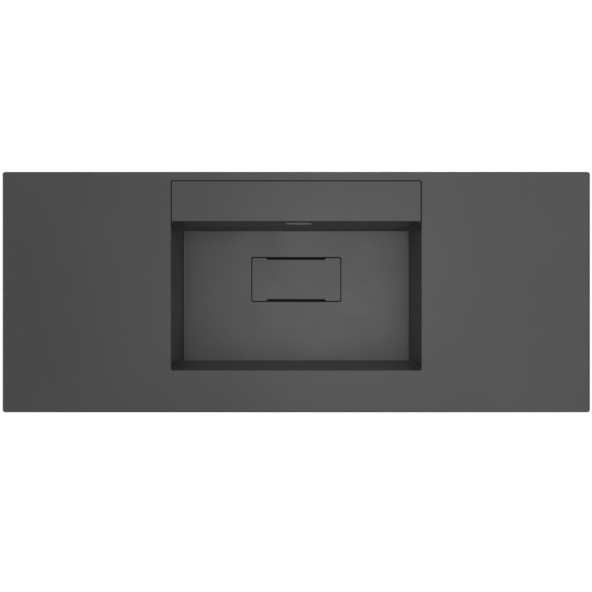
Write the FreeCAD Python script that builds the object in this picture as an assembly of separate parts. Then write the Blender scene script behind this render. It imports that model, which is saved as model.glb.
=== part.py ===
"""Wall-hung washbasin top, 1220 mm wide.

A slab of 12 mm solid-surface sheet with aprons carries a straight-sided cast bowl and, behind the bowl, a
shallow ledge tray closed by a lift-off ledge cover. A lift-off drain cover hides the free-flow waste and its
hair strainer. Plywood rails, ribs and panels stiffen the slab, which rests on two steel wall brackets.

Frame: millimetres, +X to the user's right, +Y towards the wall, +Z up. The wall is the plane Y = 0, and the
origin is the centre of the four wall-bolt holes.
"""

import FreeCAD, Part
import math
import os

Vec = FreeCAD.Vector

# ---- driving dimensions of the slab ----
WIDTH = 1220.0
DEPTH = 500.0
APRON_HEIGHT = 150.0
SHEET = 12.0
DECK_TOP = 90.0
SLAB_CORNER_R = 6.0
SLAB_EDGE_R = 4.0
EASED = 0.8

HALF_W = WIDTH / 2
FRONT_Y = -DEPTH
DECK_UNDER = DECK_TOP - SHEET
APRON_BOTTOM = DECK_TOP - APRON_HEIGHT

# ---- cut-out in the deck: the bowl in front, the ledge behind ----
CUT_WIDTH = 520.0
CUT_FRONT = FRONT_Y + 87.5
CUT_BACK = -18.5
CUT_CORNER_R = 3.0
LEDGE_FRONT = -103.0
COVER_GAP = 1.8
CUT_HALF = CUT_WIDTH / 2

# ---- bowl ----
BOWL_DEPTH = 115.0
BOWL_DRAFT = 10.5
BOWL_WALL = 12.0
FLOOR_FALL = 3.0
FLOOR_UNDERSIDE = -39.0
FLANGE_REACH = 20.0
FLANGE_THICK = 10.0
BOWL_CORNER_R = 3.0
BOWL_OUTER_CORNER_R = 9.0
BOWL_UNDER_EDGE_R = 6.0
FLANGE_CORNER_R = 8.0
FLOOR_EDGE_Z = DECK_TOP - BOWL_DEPTH
FLOOR_LOW_Z = FLOOR_EDGE_Z - FLOOR_FALL
DRAFT_SLOPE = BOWL_DRAFT / (DECK_UNDER - FLOOR_EDGE_Z)
BOWL_OUTER_HALF = CUT_HALF + BOWL_WALL
FLANGE_HALF = BOWL_OUTER_HALF + FLANGE_REACH
BOWL_BACK = LEDGE_FRONT + BOWL_WALL

# ---- drain pocket and drain cover ----
DRAIN_Y = -222.0
POCKET_W = 200.0
POCKET_D = 100.0
POCKET_CORNER_R = 5.0
POCKET_GAP = 2.0
POCKET_WALL = 12.0
POCKET_SLOPE = 8.0
SUMP_CORNER_R = 10.0
COVER_THICK = 10.0
FOOT_HEIGHT = 8.0
FOOT_R = 6.0
FOOT_STEM_R = 3.0
FOOT_STEM = 5.0
FOOT_X = 85.0
FOOT_Y = 35.0
NOTCH_LENGTH = 134.0
NOTCH_DEPTH = 4.0
DRAIN_COVER_UNDER = FLOOR_LOW_Z - COVER_THICK
POCKET_FLOOR = DRAIN_COVER_UNDER - FOOT_HEIGHT
POCKET_BOTTOM = POCKET_FLOOR - POCKET_WALL
FUNNEL_W = 110.0
FUNNEL_D = 80.0
FUNNEL_END = 68.0
FUNNEL_FALL = 1.5

# ---- free-flow waste, hung from the pocket floor ----
FLANGE_R = 32.0
FLANGE_SEAT_GAP = 1.0
TOP_GASKET = 1.0
WASTE_FLANGE = 2.5
TAIL_R = 20.95
TAIL_BORE_R = 17.5
TAIL_END = -117.0
RELIEF_R = 20.2
RELIEF = 2.0
WASTE_HOLE_R = 23.0
RUNNING_GAP = 0.1
UNDER_GASKET = 3.0
SLIP_WASHER = 1.5
BACK_NUT = 9.0
BACK_NUT_AF = 52.0
BACK_NUT_CHAMFER = 1.8
UNDER_GASKET_R = 31.0
SLIP_WASHER_R = 30.0
WASTE_TOP = POCKET_FLOOR - FUNNEL_FALL
WASTE_UNDER = WASTE_TOP - WASTE_FLANGE
WASTE_SEAT = WASTE_UNDER - TOP_GASKET

# ---- hair strainer ----
DISH_R = 25.5
DISH_DEPTH = 1.2
STRAINER_RIM_R = 25.0
STRAINER_CUP_R = 16.5
STRAINER_SHEET = 0.8
STRAINER_BOTTOM = -62.0
STEM_R = 2.0
KNOB_R = 6.0
KNOB_EDGE_R = 1.2
KNOB_UNDER = -46.0
KNOB_TOP = -42.0
HOLE_RINGS = ((5.5, 6), (9.6, 12), (13.4, 18))
STRAINER_HOLE_R = 1.4
CUP_CORNER_R = 2.5
SLOT_COUNT = 14
SLOT_W = 2.2
SLOT_LOW = 4.0
SLOT_HIGH = 10.0
RIVET_R = 3.5
RIVET = 1.2

# ---- ledge tray and ledge cover ----
TRAY_INNER_HALF = 250.0
TRAY_OUTER_HALF = 262.0
TRAY_FRONT_WALL = 10.0
TRAY_REAR_INNER = -28.5
TRAY_FLOOR = 28.0
TRAY_FLOOR_THICK = 10.0
TRAY_CORNER_R = 8.0
TRAY_OUTER_CORNER_R = 3.0
LEDGE_COVER_THICK = 10.0
BUMPER_R = 3.5
BUMPER_STEM_R = 2.0
BUMPER_STEM = 4.0
BUMPER_XS = (-220.0, 0.0, 220.0)
BUMPER_YS = (-97.0, -24.8)
BATTEN_HALF = 150.0
BATTEN_W = 8.0
BATTEN_H = 12.0
BATTEN_CLEARANCE = 1.5
BATTEN_EDGE_R = 1.5
LEDGE_COVER_UNDER = DECK_TOP - LEDGE_COVER_THICK
TRAY_FRONT_INNER = BOWL_BACK + TRAY_FRONT_WALL

# ---- plywood stiffeners ----
PLY = 18.0
RAIL_HALF = 400.0
RAIL_BOTTOM = -20.0
FRONT_RAIL_BOTTOM = 38.0
RIB_IN = FLANGE_HALF
RIB_OUT = RIB_IN + PLY
PANEL_OUT = HALF_W - SHEET
PANEL_UNDER = DECK_UNDER - PLY
BLOCK_LEG = 45.0
BLOCK_BOTTOM = -45.0

# ---- wall brackets, folded from 5 mm steel ----
STEEL = 5.0
BRACKET_IN = 405.0
BRACKET_W = 44.0
BOLT_X = 430.0
BOLT_Z = 38.0
BOLT_HOLE_R = 5.5
ARM_REACH = 420.0
PAD = 3.0
PAD_LENGTH = 40.0
PAD_WIDTH = 30.0
ARM_SCREW_YS = (-60.0, -230.0, -390.0)
ARM_TOP = PANEL_UNDER - PAD
ARM_UNDER = ARM_TOP - STEEL
WALL_PLATE_BOTTOM = -56.0
BEND_R = 7.0
BEND_INNER_R = 3.0
ARM_CORNER_R = 10.0
PLATE_CORNER_R = 8.0
ARM_HOLE_R = 3.5
WEB_SHORT_OF_TIP = 20.0
WEB_TIP_HEIGHT = 8.0

# ---- fasteners ----
SCREW_R = 3.0
SCREW_TIP = 72.0
SCREW_HEAD_AF = 10.0
SCREW_HEAD = 4.0
SCREW_HEAD_CHAMFER = 0.9
WASHER_R = 7.0
WASHER = 1.2
INSERT_R = 5.0
INSERT_LENGTH = 13.0
WOOD_SCREW_R = 2.5
WOOD_SCREW_HEAD_R = 5.0
WOOD_SCREW_LENGTH = 60.0
WOOD_SCREW_ZS = (-5.0, 62.0)
WOOD_SCREW_RECESS = 0.5
WOOD_SCREW_SINK = 3.0
CROSS_REACH = 2.4
CROSS_HALF_W = 0.5
CROSS_DEPTH = 1.8

# ---- blank badge on the bowl's rear wall ----
BADGE_W = 52.0
BADGE_H = 10.0
BADGE_THICK = 0.8
BADGE_X = 5.0
BADGE_Z = 50.0
BADGE_EDGE_R = 0.3

SIDES = (("left", -1), ("right", 1))


# ---- helpers ----

def box(x0, x1, y0, y1, z0, z1):
    """Box between two X, two Y and two Z planes, in any order."""
    x0, x1 = sorted((x0, x1))
    y0, y1 = sorted((y0, y1))
    z0, z1 = sorted((z0, z1))
    return Part.makeBox(x1 - x0, y1 - y0, z1 - z0, Vec(x0, y0, z0))


def cylinder(radius, z0, z1, x=0.0, y=DRAIN_Y):
    return Part.makeCylinder(radius, abs(z1 - z0), Vec(x, y, min(z0, z1)))


def ring(radius, bore, z0, z1, x=0.0, y=DRAIN_Y):
    return cylinder(radius, z0, z1, x, y).cut(cylinder(bore, z0 - 1, z1 + 1, x, y))


def hexagon(across_flats, z0, z1, x=0.0, y=DRAIN_Y):
    corner = across_flats / math.sqrt(3)
    angles = [math.tau * i / 6 for i in range(7)]
    points = [Vec(x + corner * math.cos(a), y + corner * math.sin(a), z0) for a in angles]
    return Part.Face(Part.makePolygon(points)).extrude(Vec(0, 0, z1 - z0))


def fuse(shapes):
    return shapes[0].multiFuse(shapes[1:]).removeSplitter()


def drilled(shape, cutters):
    return shape.cut(Part.makeCompound(cutters))


def round_edges(shape, radius, wanted):
    """Rounds every edge whose bounding box is wanted."""
    return shape.makeFillet(radius, [e for e in shape.Edges if wanted(e.BoundBox)])


def near(a, b):
    return abs(a - b) < 0.01


def upright(b):
    return b.XLength < 0.01 and b.YLength < 0.01


def tall(b):
    return b.ZLength > 50


def flat_at(z):
    return lambda b: b.ZLength < 0.01 and near(b.ZMin, z)


def rectangle(x0, x1, y0, y1, z):
    return [Vec(x0, y0, z), Vec(x1, y0, z), Vec(x1, y1, z), Vec(x0, y1, z)]


def tapered_box(lower, upper):
    """Solid with six flat faces between two rectangles, each given as four corners in the same order."""
    sides = [[lower[i], lower[(i + 1) % 4], upper[(i + 1) % 4], upper[i]] for i in range(4)]
    faces = [Part.Face(Part.makePolygon(loop + loop[:1])) for loop in [lower[::-1], upper] + sides]
    return Part.Solid(Part.Shell(faces))


def plate_across_x(points_yz, x0, x1):
    """Plate of the outline points_yz, in the YZ plane, between two X planes."""
    corners = [Vec(x0, y, z) for y, z in points_yz]
    return Part.Face(Part.makePolygon(corners + corners[:1])).extrude(Vec(x1 - x0, 0, 0))


def along_x(b):
    return b.YLength < 0.01 and b.ZLength < 0.01


def smooth_step(t):
    t = min(1.0, max(0.0, t))
    return t * t * (3 - 2 * t)


def drawn_in(z):
    """How far the bowl's drafted walls have come in at height z."""
    return (DECK_UNDER - z) * DRAFT_SLOPE


# ---- slab ----

def deck():
    sheet = box(-HALF_W, HALF_W, FRONT_Y, 0, DECK_UNDER, DECK_TOP)
    sheet = round_edges(sheet, SLAB_CORNER_R, upright)
    sheet = round_edges(sheet, SLAB_EDGE_R, flat_at(DECK_TOP))
    opening = box(-CUT_HALF, CUT_HALF, CUT_FRONT, CUT_BACK, DECK_UNDER - 1, DECK_TOP + 1)
    sheet = sheet.cut(round_edges(opening, CUT_CORNER_R, upright))
    return round_edges(sheet, EASED, lambda b: flat_at(DECK_TOP)(b) and on_cut_out(b))


def on_cut_out(b):
    return (b.XMin > -CUT_HALF - 1 and b.XMax < CUT_HALF + 1
            and b.YMin > CUT_FRONT - 1 and b.YMax < CUT_BACK + 1)


def front_apron():
    sheet = box(-HALF_W, HALF_W, FRONT_Y, FRONT_Y + SHEET, APRON_BOTTOM, DECK_UNDER)
    sheet = round_edges(sheet, SLAB_CORNER_R, lambda b: upright(b) and near(b.YMin, FRONT_Y))
    return round_edges(sheet, EASED, flat_at(APRON_BOTTOM))


def side_apron(side):
    outer, inner = side * HALF_W, side * (HALF_W - SHEET)
    sheet = box(inner, outer, FRONT_Y + SHEET, 0, APRON_BOTTOM, DECK_UNDER)
    sheet = round_edges(sheet, SLAB_CORNER_R,
                        lambda b: upright(b) and near(b.YMin, 0) and near(b.XMin, outer))
    return round_edges(sheet, EASED, lambda b: flat_at(APRON_BOTTOM)(b) and b.YMax - b.YMin > SHEET * 2)


# ---- bowl ----

def bowl_rectangle(z, grow):
    """The bowl's inner outline at height z, grown outwards by grow."""
    d = drawn_in(z)
    half = CUT_HALF - d + grow
    return rectangle(-half, half, CUT_FRONT + d - grow, LEDGE_FRONT - d + grow, z)


def floor_height(x, y):
    """The floor falls smoothly from its edges to the pocket, and is level round the pocket."""
    edge_half = CUT_HALF - BOWL_DRAFT
    across = smooth_step((abs(x) - POCKET_W / 2) / (edge_half - POCKET_W / 2))
    front, back = DRAIN_Y - POCKET_D / 2, DRAIN_Y + POCKET_D / 2
    forward = smooth_step((front - y) / (front - CUT_FRONT - BOWL_DRAFT))
    backward = smooth_step((y - back) / (LEDGE_FRONT - BOWL_DRAFT - back))
    return FLOOR_LOW_Z + FLOOR_FALL * (1 - (1 - across) * (1 - forward) * (1 - backward))


def floor_solid():
    """All that lies under the bowl's dished floor, as one block."""
    xs = [-275.0 + 25.0 * i for i in range(23)]
    ys = [CUT_FRONT - 10 + (LEDGE_FRONT - CUT_FRONT + 20) * j / 18 for j in range(19)]
    surface = Part.BSplineSurface()
    surface.interpolate([[Vec(x, y, floor_height(x, y)) for y in ys] for x in xs])
    return surface.toShape().extrude(Vec(0, 0, -60))


def bowl_cavity():
    """The space inside the bowl, from the floor to the deck's underside."""
    shaft = tapered_box(bowl_rectangle(FLOOR_EDGE_Z - 20, 0), bowl_rectangle(DECK_UNDER, 0))
    cavity = shaft.cut(floor_solid()).Solids[0]
    cavity = round_edges(cavity, BOWL_CORNER_R, tall)
    return round_edges(cavity, BOWL_CORNER_R, lambda b: b.ZMax < FLOOR_EDGE_Z + BOWL_CORNER_R * 2)


def drain_pocket():
    """The recess for the drain cover, its funnel, the flange's seat and the hole for the tail.

    The recess has a 45 degree slope below each water notch, so that nothing can settle there.
    """
    half_w, half_d = POCKET_W / 2, POCKET_D / 2
    foot, knee = half_d - POCKET_SLOPE, POCKET_FLOOR + POCKET_SLOPE
    outline = [(-half_d, 0), (-half_d, knee), (-foot, POCKET_FLOOR), (foot, POCKET_FLOOR), (half_d, knee),
               (half_d, 0)]
    recess = plate_across_x([(DRAIN_Y + y, z) for y, z in outline], -half_w, half_w)
    recess = round_edges(recess, POCKET_CORNER_R, upright)
    end = FUNNEL_END / 2
    mouth_w, mouth_d = FUNNEL_W / 2, FUNNEL_D / 2
    funnel = tapered_box(rectangle(-end, end, DRAIN_Y - end, DRAIN_Y + end, WASTE_TOP),
                         rectangle(-mouth_w, mouth_w, DRAIN_Y - mouth_d, DRAIN_Y + mouth_d, POCKET_FLOOR))
    seat = cylinder(FLANGE_R + FLANGE_SEAT_GAP, WASTE_SEAT, POCKET_FLOOR)
    return [recess, funnel, seat, cylinder(WASTE_HOLE_R, POCKET_BOTTOM - 1, POCKET_FLOOR)]


def basin_bowl():
    outside = tapered_box(bowl_rectangle(FLOOR_UNDERSIDE, BOWL_WALL), bowl_rectangle(DECK_UNDER, BOWL_WALL))
    outside = round_edges(outside, BOWL_OUTER_CORNER_R, tall)
    outside = round_edges(outside, BOWL_UNDER_EDGE_R, flat_at(FLOOR_UNDERSIDE))
    flange = box(-FLANGE_HALF, FLANGE_HALF, CUT_FRONT - BOWL_WALL - FLANGE_REACH, BOWL_BACK,
                 DECK_UNDER - FLANGE_THICK, DECK_UNDER)
    flange = round_edges(flange, FLANGE_CORNER_R, lambda b: upright(b) and b.YMin < DRAIN_Y)
    reach_w, reach_d = POCKET_W / 2 + POCKET_WALL, POCKET_D / 2 + POCKET_WALL
    sump = box(-reach_w, reach_w, DRAIN_Y - reach_d, DRAIN_Y + reach_d, POCKET_BOTTOM, FLOOR_UNDERSIDE + 2)
    sump = round_edges(sump, SUMP_CORNER_R, upright)
    sump = round_edges(sump, SUMP_CORNER_R / 2, flat_at(POCKET_BOTTOM))
    return fuse([outside, flange, sump]).cut(bowl_cavity()).cut(fuse(drain_pocket())).removeSplitter()


def blank_badge():
    plate = box(-BADGE_W / 2, BADGE_W / 2, -BADGE_THICK, 0, -BADGE_H / 2, BADGE_H / 2)
    plate = round_edges(plate, BADGE_EDGE_R, lambda b: near(b.YMax, -BADGE_THICK))
    plate.rotate(Vec(0, 0, 0), Vec(1, 0, 0), -math.degrees(math.atan(DRAFT_SLOPE)))
    plate.translate(Vec(BADGE_X, LEDGE_FRONT - drawn_in(BADGE_Z), BADGE_Z))
    return plate


# ---- drain cover ----

def drain_cover():
    half_w, half_d = POCKET_W / 2 - POCKET_GAP, POCKET_D / 2 - POCKET_GAP
    plate = box(-half_w, half_w, DRAIN_Y - half_d, DRAIN_Y + half_d, DRAIN_COVER_UNDER, FLOOR_LOW_Z)
    plate = round_edges(plate, POCKET_CORNER_R - POCKET_GAP, upright)
    plate = drilled(plate, [water_notch(end * half_d, end) for end in (-1, 1)])
    plate = round_edges(plate, EASED, flat_at(FLOOR_LOW_Z))
    sockets = [cylinder(FOOT_STEM_R, DRAIN_COVER_UNDER, DRAIN_COVER_UNDER + FOOT_STEM, x, y)
               for x, y in foot_places()]
    return drilled(plate, sockets)


def water_notch(edge, end):
    """Notch with 45 degree ends in the long edge at DRAIN_Y + edge; end is +1 behind and -1 in front."""
    outer, inner = NOTCH_LENGTH / 2, NOTCH_LENGTH / 2 - NOTCH_DEPTH
    past = 1.0
    outline = [(-outer - past, edge + end * past), (-inner, edge - end * NOTCH_DEPTH),
               (inner, edge - end * NOTCH_DEPTH), (outer + past, edge + end * past)]
    corners = [Vec(x, DRAIN_Y + y, DRAIN_COVER_UNDER - 1) for x, y in outline]
    return Part.Face(Part.makePolygon(corners + corners[:1])).extrude(Vec(0, 0, COVER_THICK + 2))


def foot_places():
    return [(sx * FOOT_X, DRAIN_Y + sy * FOOT_Y) for sx in (-1, 1) for sy in (-1, 1)]


def drain_cover_feet():
    feet = []
    for x, y in foot_places():
        pad = cylinder(FOOT_R, POCKET_FLOOR, DRAIN_COVER_UNDER, x, y)
        pad = round_edges(pad, EASED, flat_at(POCKET_FLOOR))
        stem = cylinder(FOOT_STEM_R, DRAIN_COVER_UNDER, DRAIN_COVER_UNDER + FOOT_STEM, x, y)
        feet.append(fuse([pad, stem]))
    return Part.makeCompound(feet)


# ---- waste ----

def waste_body():
    flange = cylinder(FLANGE_R, WASTE_UNDER, WASTE_TOP)
    flange = round_edges(flange, EASED, flat_at(WASTE_TOP))
    tail = cylinder(TAIL_R, TAIL_END, WASTE_UNDER)
    tail = tail.makeChamfer(EASED, [e for e in tail.Edges if flat_at(TAIL_END)(e.BoundBox)])
    dish = cylinder(DISH_R, WASTE_TOP - DISH_DEPTH, WASTE_TOP + 1)
    thread_end = under_stack()[-1] - 1
    relief = ring(TAIL_R + 1, RELIEF_R, thread_end - RELIEF, thread_end)
    bore = cylinder(TAIL_BORE_R, TAIL_END - 1, WASTE_TOP)
    return drilled(fuse([flange, tail]), [fuse([dish, bore]), relief])


def waste_top_gasket():
    return ring(FLANGE_R - 1, WASTE_HOLE_R, WASTE_SEAT, WASTE_UNDER)


def under_stack():
    """Heights of the gasket, washer and back nut below the pocket, from the top down."""
    levels = [POCKET_BOTTOM]
    for thickness in (UNDER_GASKET, SLIP_WASHER, BACK_NUT):
        levels.append(levels[-1] - thickness)
    return levels


def waste_under_gasket():
    top, bottom = under_stack()[:2]
    gasket = ring(UNDER_GASKET_R, TAIL_R + RUNNING_GAP, bottom, top)
    return round_edges(gasket, EASED, lambda b: flat_at(bottom)(b) and b.XLength > UNDER_GASKET_R)


def waste_slip_washer():
    top, bottom = under_stack()[1:3]
    return ring(SLIP_WASHER_R, TAIL_R + RUNNING_GAP, bottom, top)


def waste_back_nut():
    """Hexagon nut with its corners turned off at both faces."""
    top, bottom = under_stack()[2:]
    turned = cylinder(BACK_NUT_AF / math.sqrt(3) + RUNNING_GAP, bottom, top)
    turned = turned.makeChamfer(BACK_NUT_CHAMFER, [e for e in turned.Edges if e.BoundBox.ZLength < 0.01])
    nut = hexagon(BACK_NUT_AF, bottom, top).common(turned)
    return nut.cut(cylinder(TAIL_R + RUNNING_GAP, bottom - 1, top + 1))


def hair_strainer():
    rim_top = WASTE_TOP - DISH_DEPTH + STRAINER_SHEET
    rim_under = WASTE_TOP - DISH_DEPTH
    rim = cylinder(STRAINER_RIM_R, rim_under, rim_top)
    cup = cylinder(STRAINER_CUP_R, STRAINER_BOTTOM, rim_top)
    cup = round_edges(cup, CUP_CORNER_R, flat_at(STRAINER_BOTTOM))
    inside = cylinder(STRAINER_CUP_R - STRAINER_SHEET, STRAINER_BOTTOM + STRAINER_SHEET, rim_top + 1)
    inside = round_edges(inside, CUP_CORNER_R - STRAINER_SHEET, flat_at(STRAINER_BOTTOM + STRAINER_SHEET))
    shell = fuse([rim, cup]).cut(inside)
    holes = [cylinder(STEM_R, STRAINER_BOTTOM - 1, STRAINER_BOTTOM + 3)]
    for radius, count in HOLE_RINGS:
        for i in range(count):
            a = math.tau * i / count
            holes.append(cylinder(STRAINER_HOLE_R, STRAINER_BOTTOM - 1, STRAINER_BOTTOM + 3,
                                  radius * math.cos(a), DRAIN_Y + radius * math.sin(a)))
    return drilled(shell, holes + strainer_slots())


def strainer_slots():
    """Upright slots through the cup's wall, with round ends."""
    slots = []
    half = SLOT_W / 2
    for i in range(SLOT_COUNT):
        slot = box(STRAINER_CUP_R - 3, STRAINER_CUP_R + 2, DRAIN_Y - half, DRAIN_Y + half,
                   STRAINER_BOTTOM + SLOT_LOW, STRAINER_BOTTOM + SLOT_HIGH)
        slot = round_edges(slot, half * 0.98, along_x)
        slot.rotate(Vec(0, DRAIN_Y, 0), Vec(0, 0, 1), 360.0 * i / SLOT_COUNT)
        slots.append(slot)
    return slots


def strainer_knob():
    """Turned knob on a stem that is riveted through the cup's floor."""
    knob = cylinder(KNOB_R, KNOB_UNDER, KNOB_TOP)
    knob = round_edges(knob, KNOB_EDGE_R, lambda b: b.ZLength < 0.01)
    stem = cylinder(STEM_R, STRAINER_BOTTOM, KNOB_UNDER + 1)
    rivet_under = STRAINER_BOTTOM - RIVET
    rivet = round_edges(cylinder(RIVET_R, rivet_under, STRAINER_BOTTOM), EASED, flat_at(rivet_under))
    return fuse([knob, stem, rivet])


# ---- ledge ----

def ledge_tray():
    body = box(-TRAY_OUTER_HALF, TRAY_OUTER_HALF, BOWL_BACK, -PLY, TRAY_FLOOR - TRAY_FLOOR_THICK, DECK_UNDER)
    inside = box(-TRAY_INNER_HALF, TRAY_INNER_HALF, TRAY_FRONT_INNER, TRAY_REAR_INNER,
                 TRAY_FLOOR, DECK_UNDER + 1)
    inside = round_edges(inside, TRAY_CORNER_R, upright)
    inside = round_edges(inside, TRAY_CORNER_R / 2, flat_at(TRAY_FLOOR))
    body = round_edges(body, TRAY_OUTER_CORNER_R, lambda b: upright(b) and near(b.YMin, -PLY))
    return body.cut(inside)


def ledge_cover():
    half = CUT_HALF - COVER_GAP
    plate = box(-half, half, LEDGE_FRONT, CUT_BACK - COVER_GAP, LEDGE_COVER_UNDER, DECK_TOP)
    plate = round_edges(plate, CUT_CORNER_R - COVER_GAP, lambda b: upright(b) and b.YMin > LEDGE_FRONT + 1)
    plate = round_edges(plate, EASED, flat_at(DECK_TOP))
    sockets = [cylinder(BUMPER_STEM_R, LEDGE_COVER_UNDER, LEDGE_COVER_UNDER + BUMPER_STEM, x, y)
               for x, y in bumper_places()]
    return drilled(plate, sockets)


def bumper_places():
    return [(x, y) for x in BUMPER_XS for y in BUMPER_YS]


def ledge_cover_bumpers():
    bumpers = []
    for x, y in bumper_places():
        pad = cylinder(BUMPER_R, DECK_UNDER, LEDGE_COVER_UNDER, x, y)
        pad = round_edges(pad, EASED / 2, flat_at(DECK_UNDER))
        stem = cylinder(BUMPER_STEM_R, LEDGE_COVER_UNDER, LEDGE_COVER_UNDER + BUMPER_STEM, x, y)
        bumpers.append(fuse([pad, stem]))
    return Part.makeCompound(bumpers)


def ledge_cover_battens():
    """Two strips under the cover that keep it centred in the tray."""
    low = LEDGE_COVER_UNDER - BATTEN_H
    front = TRAY_FRONT_INNER + BATTEN_CLEARANCE
    back = TRAY_REAR_INNER - BATTEN_CLEARANCE
    strips = [box(-BATTEN_HALF, BATTEN_HALF, front, front + BATTEN_W, low, LEDGE_COVER_UNDER),
              box(-BATTEN_HALF, BATTEN_HALF, back - BATTEN_W, back, low, LEDGE_COVER_UNDER)]
    return Part.makeCompound([round_edges(strip, BATTEN_EDGE_R, flat_at(low)) for strip in strips])


# ---- plywood ----

def rear_rail():
    rail = box(-RAIL_HALF, RAIL_HALF, -PLY, 0, RAIL_BOTTOM, DECK_UNDER)
    return drilled(rail, [wood_screw_shape(x, z) for x, z in wood_screw_places()])


def front_rail():
    return box(-PANEL_OUT, PANEL_OUT, FRONT_Y + SHEET, FRONT_Y + SHEET + PLY, FRONT_RAIL_BOTTOM, DECK_UNDER)


def rib(side):
    """Upright board beside the bowl, between the front and rear rails."""
    board = box(side * RIB_IN, side * RIB_OUT, FRONT_Y + SHEET + PLY, -PLY, RAIL_BOTTOM, DECK_UNDER)
    return drilled(board, [wood_screw_shape(x, z) for x, z in wood_screw_places() if x * side > 0])


def support_panel(side):
    """Flat board glued under the deck, with blind holes for the threaded inserts."""
    board = box(side * RIB_OUT, side * PANEL_OUT, FRONT_Y + SHEET + PLY, -PLY, PANEL_UNDER, DECK_UNDER)
    return drilled(board, [cylinder(INSERT_R, PANEL_UNDER, PANEL_UNDER + INSERT_LENGTH, side * BOLT_X, y)
                           for y in ARM_SCREW_YS])


def apron_corner_blocks():
    """Triangular glue blocks where the front apron meets the side aprons."""
    blocks = []
    for _, side in SIDES:
        x, y = side * PANEL_OUT, FRONT_Y + SHEET
        corners = [Vec(x, y, BLOCK_BOTTOM), Vec(x - side * BLOCK_LEG, y, BLOCK_BOTTOM),
                   Vec(x, y + BLOCK_LEG, BLOCK_BOTTOM)]
        face = Part.Face(Part.makePolygon(corners + corners[:1]))
        blocks.append(face.extrude(Vec(0, 0, FRONT_RAIL_BOTTOM - BLOCK_BOTTOM)))
    return Part.makeCompound(blocks)


def wood_screw_places():
    return [(side * (RIB_IN + PLY / 2), z) for _, side in SIDES for z in WOOD_SCREW_ZS]


def wood_screw_shape(x, z):
    """Countersunk screw driven forwards from the wall face, through the rear rail into a rib."""
    start = -WOOD_SCREW_RECESS
    head = Part.makeCone(WOOD_SCREW_HEAD_R, WOOD_SCREW_R, WOOD_SCREW_SINK, Vec(x, start, z), Vec(0, -1, 0))
    shank = Part.makeCylinder(WOOD_SCREW_R, WOOD_SCREW_LENGTH, Vec(x, start, z), Vec(0, -1, 0))
    mouth = Part.makeCylinder(WOOD_SCREW_HEAD_R, WOOD_SCREW_RECESS + 1, Vec(x, start, z), Vec(0, 1, 0))
    return fuse([head, shank, mouth])


def rail_screws():
    screws = []
    for x, z in wood_screw_places():
        reach = WOOD_SCREW_HEAD_R * 2
        mouth = box(x - reach, x + reach, -WOOD_SCREW_RECESS, reach, z - reach, z + reach)
        cross = [box(x - a, x + a, -WOOD_SCREW_RECESS - CROSS_DEPTH, 0, z - b, z + b)
                 for a, b in ((CROSS_REACH, CROSS_HALF_W), (CROSS_HALF_W, CROSS_REACH))]
        screws.append(wood_screw_shape(x, z).cut(fuse([mouth] + cross)))
    return Part.makeCompound(screws)


# ---- brackets and their fasteners ----

def wall_bracket(side):
    x0, x1 = side * BRACKET_IN, side * (BRACKET_IN + BRACKET_W)
    fold = [(0, ARM_TOP), (-ARM_REACH, ARM_TOP), (-ARM_REACH, ARM_UNDER), (-STEEL, ARM_UNDER),
            (-STEEL, WALL_PLATE_BOTTOM), (0, WALL_PLATE_BOTTOM)]
    angle = plate_across_x(fold, x0, x1)
    angle = round_edges(angle, BEND_R, lambda b: along_x(b) and near(b.YMin, 0) and near(b.ZMin, ARM_TOP))
    angle = round_edges(angle, BEND_INNER_R,
                        lambda b: along_x(b) and near(b.YMin, -STEEL) and near(b.ZMin, ARM_UNDER))
    angle = round_edges(angle, ARM_CORNER_R,
                        lambda b: upright(b) and near(b.YMin, -ARM_REACH) and near(b.XMin, x1))
    angle = round_edges(angle, PLATE_CORNER_R,
                        lambda b: flat_at(WALL_PLATE_BOTTOM)(b) and b.XLength < 0.01 and near(b.XMin, x1))
    bolts = [Part.makeCylinder(BOLT_HOLE_R, STEEL * 4, Vec(side * BOLT_X, -STEEL * 2, z), Vec(0, 1, 0))
             for z in (-BOLT_Z, BOLT_Z)]
    screws = [cylinder(ARM_HOLE_R, ARM_UNDER - 1, ARM_TOP + 1, side * BOLT_X, y) for y in ARM_SCREW_YS]
    return drilled(fuse([angle, bracket_web(side)]), bolts + screws)


def bracket_web(side):
    """Triangular web folded down along the bracket's inner edge."""
    top = ARM_TOP - STEEL / 2
    tip = WEB_SHORT_OF_TIP - ARM_REACH
    outline = [(-STEEL / 2, top), (tip, top), (tip, ARM_UNDER - WEB_TIP_HEIGHT),
               (-4 * STEEL, WALL_PLATE_BOTTOM), (-STEEL / 2, WALL_PLATE_BOTTOM)]
    return plate_across_x(outline, side * BRACKET_IN, side * (BRACKET_IN + STEEL))


def arm_fastener_places():
    return [(side * BOLT_X, y) for _, side in SIDES for y in ARM_SCREW_YS]


def bracket_pads():
    """Rubber pads between the bracket arms and the support panels, one round each screw."""
    pads = []
    for x, y in arm_fastener_places():
        half_w, half_l = PAD_WIDTH / 2, PAD_LENGTH / 2
        pad = box(x - half_w, x + half_w, y - half_l, y + half_l, ARM_TOP, PANEL_UNDER)
        hole = cylinder(ARM_HOLE_R, ARM_TOP - 1, PANEL_UNDER + 1, x, y)
        pads.append(round_edges(pad, PAD, upright).cut(hole))
    return Part.makeCompound(pads)


def threaded_inserts():
    return Part.makeCompound([ring(INSERT_R, SCREW_R, PANEL_UNDER, PANEL_UNDER + INSERT_LENGTH, x, y)
                              for x, y in arm_fastener_places()])


def bracket_washers():
    return Part.makeCompound([ring(WASHER_R, SCREW_R + 0.2, ARM_UNDER - WASHER, ARM_UNDER, x, y)
                              for x, y in arm_fastener_places()])


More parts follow.
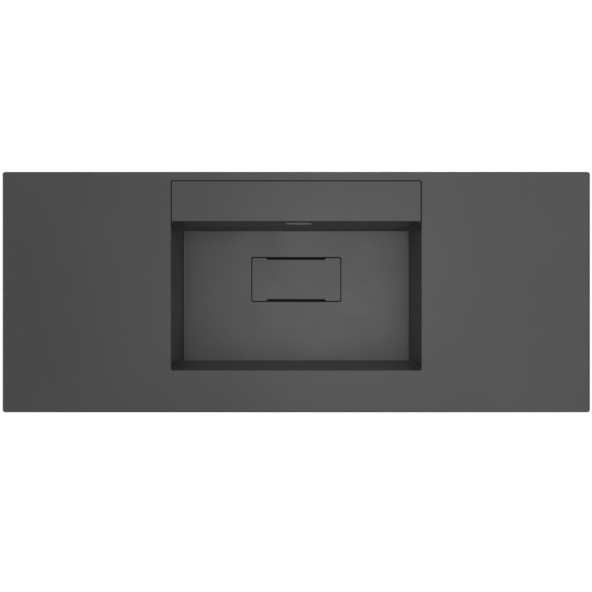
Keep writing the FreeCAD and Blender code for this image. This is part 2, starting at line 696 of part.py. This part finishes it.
def bracket_screws():
    screws = []
    under = ARM_UNDER - WASHER
    for x, y in arm_fastener_places():
        head = hexagon(SCREW_HEAD_AF, under - SCREW_HEAD, under, x, y)
        turned = cylinder(SCREW_HEAD_AF / math.sqrt(3) + RUNNING_GAP, under - SCREW_HEAD, under, x, y)
        rim = [e for e in turned.Edges if flat_at(under - SCREW_HEAD)(e.BoundBox)]
        turned = turned.makeChamfer(SCREW_HEAD_CHAMFER, rim)
        screws.append(fuse([head.common(turned), cylinder(SCREW_R, under, SCREW_TIP, x, y)]))
    return Part.makeCompound(screws)


# ---- output ----

def all_parts():
    parts = {
        "deck": deck(),
        "front_apron": front_apron(),
        "basin_bowl": basin_bowl(),
        "blank_badge": blank_badge(),
        "drain_cover": drain_cover(),
        "drain_cover_feet": drain_cover_feet(),
        "waste_body": waste_body(),
        "waste_top_gasket": waste_top_gasket(),
        "waste_under_gasket": waste_under_gasket(),
        "waste_slip_washer": waste_slip_washer(),
        "waste_back_nut": waste_back_nut(),
        "hair_strainer": hair_strainer(),
        "strainer_knob": strainer_knob(),
        "ledge_tray": ledge_tray(),
        "ledge_cover": ledge_cover(),
        "ledge_cover_bumpers": ledge_cover_bumpers(),
        "ledge_cover_battens": ledge_cover_battens(),
        "rear_rail": rear_rail(),
        "front_rail": front_rail(),
        "rail_screws": rail_screws(),
        "apron_corner_blocks": apron_corner_blocks(),
        "bracket_pads": bracket_pads(),
        "threaded_inserts": threaded_inserts(),
        "bracket_washers": bracket_washers(),
        "bracket_screws": bracket_screws(),
    }
    for name, side in SIDES:
        parts[name + "_apron"] = side_apron(side)
        parts[name + "_rib"] = rib(side)
        parts[name + "_support_panel"] = support_panel(side)
        parts[name + "_wall_bracket"] = wall_bracket(side)
    return parts


os.makedirs("parts", exist_ok=True)
for part_name, shape in all_parts().items():
    if not shape.isValid():
        print("not valid:", part_name)
    shape.exportStep("parts/" + part_name + ".step")
    print(part_name, len(shape.Solids), "solid(s),", round(shape.Volume), "mm3")
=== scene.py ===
import math

import bpy
import numpy as np
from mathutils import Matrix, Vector


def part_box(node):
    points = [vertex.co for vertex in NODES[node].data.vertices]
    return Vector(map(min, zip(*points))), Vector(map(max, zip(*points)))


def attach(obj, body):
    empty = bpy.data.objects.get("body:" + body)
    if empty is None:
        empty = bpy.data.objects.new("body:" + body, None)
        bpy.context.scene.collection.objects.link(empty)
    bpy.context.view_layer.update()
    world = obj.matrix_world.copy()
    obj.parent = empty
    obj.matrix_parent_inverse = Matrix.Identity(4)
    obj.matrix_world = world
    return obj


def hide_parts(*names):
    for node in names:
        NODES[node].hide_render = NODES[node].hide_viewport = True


# Looks of the washbasin top: materials, the threaded waste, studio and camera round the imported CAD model.

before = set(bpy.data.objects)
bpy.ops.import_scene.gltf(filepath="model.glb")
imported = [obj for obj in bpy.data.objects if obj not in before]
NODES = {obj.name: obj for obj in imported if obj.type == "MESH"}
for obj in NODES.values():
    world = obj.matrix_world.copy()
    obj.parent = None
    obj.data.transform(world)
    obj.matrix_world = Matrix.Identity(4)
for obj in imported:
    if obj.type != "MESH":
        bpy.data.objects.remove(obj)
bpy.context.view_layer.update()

# ---- places read from the frame, in metres ----
DECK_LOW, DECK_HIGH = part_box("deck")
DECK_MIDDLE = (DECK_LOW + DECK_HIGH) / 2
TOP_CENTRE = Vector((DECK_MIDDLE.x, DECK_MIDDLE.y, DECK_HIGH.z))
WASTE_LOW, WASTE_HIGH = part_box("waste_body")
WASTE_X = (WASTE_LOW.x + WASTE_HIGH.x) / 2
WASTE_Y = (WASTE_LOW.y + WASTE_HIGH.y) / 2
NUT_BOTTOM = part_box("waste_back_nut")[0].z

# ---- the waste's turned shape, in metres ----
FLANGE_THICK = 0.0025
FLANGE_EDGE_R = 0.0008
FLANGE_ARC_STEPS = 4
DISH_R = 0.0255
DISH_DEPTH = 0.0012
DISH_CORNER = 0.0002
BORE_R = 0.0175
TAIL_R = 0.02095
TAIL_CHAMFER = 0.0008
RELIEF_R = 0.0192
RELIEF_WIDTH = 0.002
RELIEF_TOP = NUT_BOTTOM - 0.001
THREAD_PITCH = 0.002309
THREAD_DEPTH = 0.0013
THREAD_RINGS = 10
WASTE_SEGMENTS = 96
SHARP_ANGLE = 38.0  # degrees

# ---- materials ----
SOLID_SURFACE_NODES = ("deck", "front_apron", "left_apron", "right_apron", "basin_bowl", "ledge_tray",
                       "ledge_cover", "ledge_cover_battens", "drain_cover")
RUBBER_NODES = ("bracket_pads", "waste_top_gasket", "waste_under_gasket")
SILICONE_NODES = ("drain_cover_feet", "ledge_cover_bumpers")
# Name, colour, roughness, grain scale, grain stretch, bump height in metres, and the nodes made of it.
METALS = (
    ("stainless_brushed", (0.50, 0.49, 0.475), 0.36, 60.0, (1.0, 1.0, 14.0), 0.00001,
     ("hair_strainer", "waste_slip_washer")),
    ("badge_dark_nickel", (0.34, 0.34, 0.33), 0.34, 60.0, (1.0, 14.0, 14.0), 0.00001,
     ("blank_badge",)),
    ("chrome_plating", (0.80, 0.81, 0.82), 0.07, 40.0, (1.0, 1.0, 1.0), 0.000002,
     ("waste_body", "strainer_knob")),
    ("turned_brass", (0.72, 0.52, 0.24), 0.26, 80.0, (1.0, 1.0, 9.0), 0.00001,
     ("waste_back_nut", "threaded_inserts")),
    ("zinc_plating", (0.62, 0.61, 0.55), 0.30, 120.0, (1.0, 1.0, 3.0), 0.00001,
     ("rail_screws", "bracket_washers", "bracket_screws")),
)
VENEERS = 13
# Each plywood board, and the axis through its thickness.
BOARDS = (
    ("rear_rail", "Y"),
    ("front_rail", "Y"),
    ("left_rib", "X"),
    ("right_rib", "X"),
    ("left_support_panel", "Z"),
    ("right_support_panel", "Z"),
    ("apron_corner_blocks", "X"),
)

# ---- studio, in metres ----
FLOOR_DROP = 1.15
FLOOR_SIZE = 24.0
CAMERA_HEIGHT = 1.654
LENS = 48.53
SENSOR = 36.0
CAMERA_SHIFT = (-0.0004, -0.0066)
AMBIENT = 0.52
OVERHEAD = 2.8
# Name, place from the middle of the deck's top, width, height, and radiance. Lights above OVERHEAD or
# below the deck shine straight down. The others point at the middle of the deck's top.
STUDIO_LIGHTS = (
    ("top_softbox", (0.88, 0.42, 2.9), 2.6, 2.6, 0.95),
    ("top_centre_panel", (0.12, 0.03, 2.84), 0.8, 0.44, 2.9),
    ("top_left_panel", (-0.90, 0.3, 2.9), 0.30, 2.6, 1.2),
    ("left_front_softbox", (-1.96, -1.96, 1.6), 1.5, 1.2, 2.0),
    ("left_softbox", (-2.6, 0.0, 1.6), 1.5, 1.0, 3.0),
    ("left_back_softbox", (-1.96, 1.96, 1.6), 1.5, 1.2, 2.1),
    ("back_softbox", (0.0, 2.6, 1.7), 2.4, 1.1, 3.0),
    ("right_back_softbox", (1.96, 1.96, 1.6), 1.5, 1.2, 1.8),
    ("right_front_softbox", (1.96, -1.96, 1.6), 1.5, 1.2, 2.4),
    ("front_softbox", (0.75, -1.82, 2.5), 2.4, 1.3, 1.4),
    ("floor_wash", (0.0, 0.0, -0.5), 8.0, 8.0, 0.30),
)


# ---- node helpers ----

class Shader:
    """A material with a Principled BSDF, and short calls for the nodes that feed it."""

    def __init__(self, name, **constants):
        self.material = bpy.data.materials.new(name)
        self.material.use_nodes = True
        self.tree = self.material.node_tree
        self.bsdf = self.tree.nodes["Principled BSDF"]
        for socket, value in constants.items():
            self.bsdf.inputs[socket.replace("_", " ")].default_value = value
        self.place = self.tree.nodes.new("ShaderNodeTexCoord").outputs["Object"]

    def node(self, kind, links=(), values=(), **settings):
        made = self.tree.nodes.new("ShaderNode" + kind)
        for key, value in settings.items():
            setattr(made, key, value)
        for socket, source in dict(links).items():
            self.tree.links.new(source, made.inputs[socket])
        for socket, value in dict(values).items():
            made.inputs[socket].default_value = value
        return made

    def link(self, source, socket):
        self.tree.links.new(source, self.bsdf.inputs[socket])

    def stretched(self, x, y, z):
        """Object coordinates multiplied axis by axis."""
        return self.node("Mapping", {"Vector": self.place}, {"Scale": (x, y, z)}).outputs["Vector"]

    def noise(self, scale, detail=3.0, roughness=0.5, at=None):
        return self.node("TexNoise", {"Vector": at or self.place},
                         {"Scale": scale, "Detail": detail, "Roughness": roughness}).outputs["Fac"]

    def cells(self, scale, output="Distance"):
        return self.node("TexVoronoi", {"Vector": self.place}, {"Scale": scale}).outputs[output]

    def ramp(self, factor, low, high, from_value=0.0, to_value=1.0):
        """Moves factor from the range low..high to from_value..to_value, and keeps it inside."""
        made = self.node("MapRange", {"Value": factor},
                         {"From Min": low, "From Max": high, "To Min": from_value, "To Max": to_value})
        return made.outputs["Result"]

    def mix(self, factor, colour_a, colour_b):
        """Colour between two colours, each given as a triple or as a socket."""
        made = self.node("Mix", {"Factor": factor}, data_type="RGBA")
        for name, colour in (("A", colour_a), ("B", colour_b)):
            socket = [s for s in made.inputs if s.name == name and s.type == "RGBA"][0]
            if isinstance(colour, tuple):
                socket.default_value = (*colour, 1.0)
            else:
                self.tree.links.new(colour, socket)
        return [s for s in made.outputs if s.type == "RGBA"][0]

    def maths(self, operation, a, b=0.0):
        made = self.node("Math", operation=operation)
        for socket, value in zip(made.inputs, (a, b)):
            if isinstance(value, (int, float)):
                socket.default_value = value
            else:
                self.tree.links.new(value, socket)
        return made.outputs["Value"]

    def bump(self, height, distance):
        made = self.node("Bump", {"Height": height}, {"Distance": distance, "Strength": 1.0})
        self.link(made.outputs["Normal"], "Normal")


def paint(material, *names):
    """Gives the CAD nodes called names this one material."""
    for name in names:
        data = NODES[name].data
        data.materials.clear()
        data.materials.append(material)


# ---- materials ----

def solid_surface():
    """Dark grey mineral-filled acrylic, sanded matt: faint clouds, fine flecks and sanding haze."""
    s = Shader("solid_surface_anthracite", IOR=1.5, Specular_IOR_Level=0.5)
    cloud = s.noise(5.0, 4.0)
    filler = s.noise(1500.0, 2.0)
    base = s.mix(s.ramp(cloud, 0.35, 0.65), (0.0282, 0.0284, 0.0280), (0.0312, 0.0314, 0.0310))
    pale = s.ramp(s.cells(1100.0), 0.10, 0.16, 1.0, 0.0)
    chosen = s.ramp(s.cells(1100.0, "Color"), 0.72, 0.74)
    base = s.mix(s.maths("MULTIPLY", s.maths("MULTIPLY", pale, chosen), 0.5), base, (0.085, 0.085, 0.081))
    dark = s.ramp(s.cells(800.0), 0.12, 0.2, 0.45, 0.0)
    base = s.mix(dark, base, (0.014, 0.014, 0.014))
    s.link(base, "Base Color")
    haze = s.ramp(s.noise(18.0, 5.0), 0.3, 0.7, 0.285, 0.335)
    grit = s.ramp(filler, 0.3, 0.7, -0.02, 0.02)
    s.link(s.maths("ADD", haze, grit), "Roughness")
    s.bump(filler, 0.000012)
    return s.material


def metal(name, colour, roughness, grain_scale, grain_stretch, bump):
    """Metal with a drawn or turned grain."""
    s = Shader(name, Metallic=1.0)
    grain = s.noise(grain_scale, 4.0, at=s.stretched(*grain_stretch))
    shade = tuple(c * 0.82 for c in colour)
    s.link(s.mix(s.ramp(grain, 0.3, 0.7), shade, colour), "Base Color")
    s.link(s.ramp(grain, 0.3, 0.7, roughness * 0.8, roughness * 1.25), "Roughness")
    s.bump(grain, bump)
    return s.material


def galvanised():
    """Hot-dip zinc: large dull crystals with slightly different shades."""
    s = Shader("galvanised_steel_spangle", Metallic=0.85)
    crystal = s.cells(95.0, "Color")
    tone = s.ramp(crystal, 0.0, 1.0)
    haze = s.noise(30.0, 5.0)
    base = s.mix(tone, (0.42, 0.44, 0.46), (0.60, 0.62, 0.63))
    base = s.mix(s.ramp(haze, 0.5, 0.75, 0.0, 0.5), base, (0.66, 0.67, 0.67))
    s.link(base, "Base Color")
    s.link(s.ramp(tone, 0.0, 1.0, 0.34, 0.52), "Roughness")
    s.bump(s.maths("ADD", tone, s.noise(240.0)), 0.00006)
    return s.material


def plywood(name, thickness_axis, start, ply):
    """Birch plywood, ply thick from start: veneer grain on its faces and alternating veneers on its edges."""
    s = Shader(name)
    axes = s.node("SeparateXYZ", {"Vector": s.place}).outputs
    through = s.maths("DIVIDE", s.maths("SUBTRACT", axes[thickness_axis], start), ply / VENEERS)
    odd = s.maths("GREATER_THAN", s.maths("MODULO", through, 2.0), 1.0)
    line = s.maths("ABSOLUTE", s.maths("SUBTRACT", s.maths("FRACT", through), 0.5))
    glue = s.ramp(line, 0.44, 0.5, 0.0, 0.75)
    long_way = [6.0, 6.0, 6.0]
    long_way[0 if thickness_axis != "X" else 1] = 0.5
    grain = s.noise(28.0, 6.0, 0.62, at=s.stretched(*long_way))
    pores = s.noise(420.0, 3.0, at=s.stretched(*[v / 6.0 if v < 1 else 1.0 for v in long_way]))
    face = s.mix(s.ramp(grain, 0.38, 0.66), (0.62, 0.43, 0.245), (0.46, 0.285, 0.145))
    face = s.mix(s.ramp(pores, 0.55, 0.7, 0.0, 0.4), face, (0.36, 0.21, 0.10))
    fibre = s.ramp(s.noise(700.0, 3.0), 0.35, 0.65)
    edge = s.mix(odd, (0.56, 0.37, 0.20), (0.33, 0.20, 0.10))
    edge = s.mix(s.maths("MULTIPLY", fibre, 0.45), edge, (0.26, 0.15, 0.08))
    edge = s.mix(glue, edge, (0.12, 0.06, 0.035))
    normal = s.node("SeparateXYZ", {"Vector": s.tree.nodes["Texture Coordinate"].outputs["Normal"]}).outputs
    on_face = s.maths("GREATER_THAN", s.maths("ABSOLUTE", normal[thickness_axis]), 0.7)
    s.link(s.mix(on_face, edge, face), "Base Color")
    s.link(s.ramp(grain, 0.3, 0.7, 0.62, 0.78), "Roughness")
    s.bump(s.maths("ADD", grain, pores), 0.00012)
    return s.material


def soft(name, colour, roughness, transmission=0.0):
    """Rubber or silicone with a slightly uneven moulded skin."""
    s = Shader(name, Transmission_Weight=transmission, IOR=1.41)
    skin = s.noise(900.0, 3.0)
    bloom = s.noise(60.0, 4.0)
    s.link(s.mix(s.ramp(bloom, 0.35, 0.7), colour, tuple(c * 1.35 + 0.004 for c in colour)), "Base Color")
    s.link(s.ramp(bloom, 0.3, 0.7, roughness * 0.9, min(1.0, roughness * 1.12)), "Roughness")
    s.bump(skin, 0.00002)
    return s.material


def studio_floor():
    """Pale matt paint with faint unevenness."""
    s = Shader("studio_floor_paint")
    s.link(s.mix(s.noise(1.2, 2.0), (0.90, 0.90, 0.90), (0.93, 0.93, 0.93)), "Base Color")
    s.link(s.ramp(s.noise(3.0), 0.3, 0.7, 0.75, 0.85), "Roughness")
    return s.material


def paint_everything():
    paint(solid_surface(), *SOLID_SURFACE_NODES)
    paint(galvanised(), "left_wall_bracket", "right_wall_bracket")
    paint(soft("black_rubber_skin", (0.018, 0.018, 0.019), 0.62), *RUBBER_NODES)
    paint(soft("silicone_skin", (0.50, 0.50, 0.49), 0.38, transmission=0.35), *SILICONE_NODES)
    for *look, names in METALS:
        paint(metal(*look), *names)
    rail_low, rail_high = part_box("rear_rail")
    for name, axis in BOARDS:
        low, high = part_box(name)
        start, ply = getattr(low, axis.lower()), getattr(high - low, axis.lower())
        if name == "apron_corner_blocks":  # its box spans both blocks
            ply = rail_high.y - rail_low.y
        paint(plywood("plywood_" + name, axis, start, ply), name)


# ---- the waste with its real thread ----

def thread_radius(z, angle):
    """Outer radius of the tail at height z: a rounded G 1 1/4 thread that runs out at both of its ends."""
    turn = (z - WASTE_LOW.z) / THREAD_PITCH - angle / math.tau
    groove = 0.5 - 0.5 * math.cos(math.tau * turn)
    room = min(z - WASTE_LOW.z - TAIL_CHAMFER, WASTE_HIGH.z - FLANGE_THICK - z)
    for edge in (RELIEF_TOP, RELIEF_TOP - RELIEF_WIDTH):
        room = min(room, abs(z - edge))
    runout = min(1.0, max(0.0, room / THREAD_PITCH))
    inside_relief = RELIEF_TOP - RELIEF_WIDTH < z < RELIEF_TOP
    return RELIEF_R if inside_relief else TAIL_R - THREAD_DEPTH * groove * runout


def threaded_waste():
    """Flanged waste as one turned surface: dish, rounded flange, threaded tail with a relief groove, bore."""
    flange_r = (WASTE_HIGH.x - WASTE_LOW.x) / 2
    top, under = WASTE_HIGH.z, WASTE_HIGH.z - FLANGE_THICK
    dish = top - DISH_DEPTH
    outline = [(BORE_R, dish), (DISH_R - DISH_CORNER, dish), (DISH_R, dish + DISH_CORNER),
               (DISH_R, top - DISH_CORNER), (DISH_R + DISH_CORNER, top)]
    for step in range(FLANGE_ARC_STEPS + 1):
        a = math.pi / 2 * step / FLANGE_ARC_STEPS
        outline.append((flange_r - FLANGE_EDGE_R * (1 - math.sin(a)),
                        top - FLANGE_EDGE_R * (1 - math.cos(a))))
    outline.append((flange_r, under))
    levels = np.arange(under, WASTE_LOW.z + TAIL_CHAMFER, -THREAD_PITCH / THREAD_RINGS)
    after = [(TAIL_R - TAIL_CHAMFER, WASTE_LOW.z), (BORE_R + TAIL_CHAMFER / 2, WASTE_LOW.z),
             (BORE_R, WASTE_LOW.z + TAIL_CHAMFER / 2)]
    rings = [lambda angle, p=p: p for p in outline]
    rings += [lambda angle, z=float(z): (thread_radius(z, angle), z) for z in levels]
    rings += [lambda angle, p=p: p for p in after]
    verts, faces = [], []
    for ring in rings:
        for i in range(WASTE_SEGMENTS):
            angle = math.tau * i / WASTE_SEGMENTS
            r, z = ring(angle)
            verts.append((WASTE_X + r * math.cos(angle), WASTE_Y + r * math.sin(angle), z))
    for k in range(len(rings)):
        low, high = k * WASTE_SEGMENTS, (k + 1) % len(rings) * WASTE_SEGMENTS
        for i in range(WASTE_SEGMENTS):
            j = (i + 1) % WASTE_SEGMENTS
            faces.append((low + j, low + i, high + i, high + j))
    mesh = bpy.data.meshes.new("threaded_waste")
    mesh.from_pydata(verts, [], faces)
    mesh.validate()
    mesh.shade_smooth()
    mesh.set_sharp_from_angle(angle=math.radians(SHARP_ANGLE))
    mesh.materials.append(NODES["waste_body"].data.materials[0])
    piece = bpy.data.objects.new("threaded_waste", mesh)
    bpy.context.scene.collection.objects.link(piece)
    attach(piece, "washbasin")
    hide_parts("waste_body")


# ---- studio and camera ----

def area_light(name, place, aim, width, height, radiance):
    """Rectangular soft light. Its power follows from its size and the radiance of its face."""
    data = bpy.data.lights.new(name, "AREA")
    data.shape = "RECTANGLE"
    data.size = width
    data.size_y = height
    data.energy = radiance * math.pi * width * height
    light = bpy.data.objects.new(name, data)
    light.location = place
    light.rotation_mode = "QUATERNION"
    light.rotation_quaternion = (aim - place).to_track_quat("-Z", "Y")
    light.visible_camera = False
    bpy.context.scene.collection.objects.link(light)


def studio():
    mesh = bpy.data.meshes.new("studio_floor")
    half = FLOOR_SIZE / 2
    corners = [TOP_CENTRE + Vector((x, y, -FLOOR_DROP))
               for x, y in ((-half, -half), (half, -half), (half, half), (-half, half))]
    mesh.from_pydata(corners, [], [(0, 1, 2, 3)])
    mesh.materials.append(studio_floor())
    floor = bpy.data.objects.new("studio_floor", mesh)
    bpy.context.scene.collection.objects.link(floor)

    world = bpy.data.worlds.new("studio_air")
    world.use_nodes = True
    background = world.node_tree.nodes["Background"]
    background.inputs["Color"].default_value = (1.0, 1.0, 1.0, 1.0)
    background.inputs["Strength"].default_value = AMBIENT
    bpy.context.scene.world = world
    for name, (x, y, z), width, height, radiance in STUDIO_LIGHTS:
        place = TOP_CENTRE + Vector((x, y, z))
        aim = place - Vector((0, 0, 1)) if z > OVERHEAD or z < 0 else TOP_CENTRE
        area_light(name, place, aim, width, height, radiance)

    data = bpy.data.cameras.new("overhead_camera")
    data.lens = LENS
    data.sensor_width = SENSOR
    data.shift_x, data.shift_y = CAMERA_SHIFT
    camera = bpy.data.objects.new("overhead_camera", data)
    camera.location = TOP_CENTRE + Vector((0, 0, CAMERA_HEIGHT))
    bpy.context.scene.collection.objects.link(camera)
    bpy.context.scene.camera = camera
    bpy.context.scene.view_settings.view_transform = "Standard"


paint_everything()
threaded_waste()
studio()
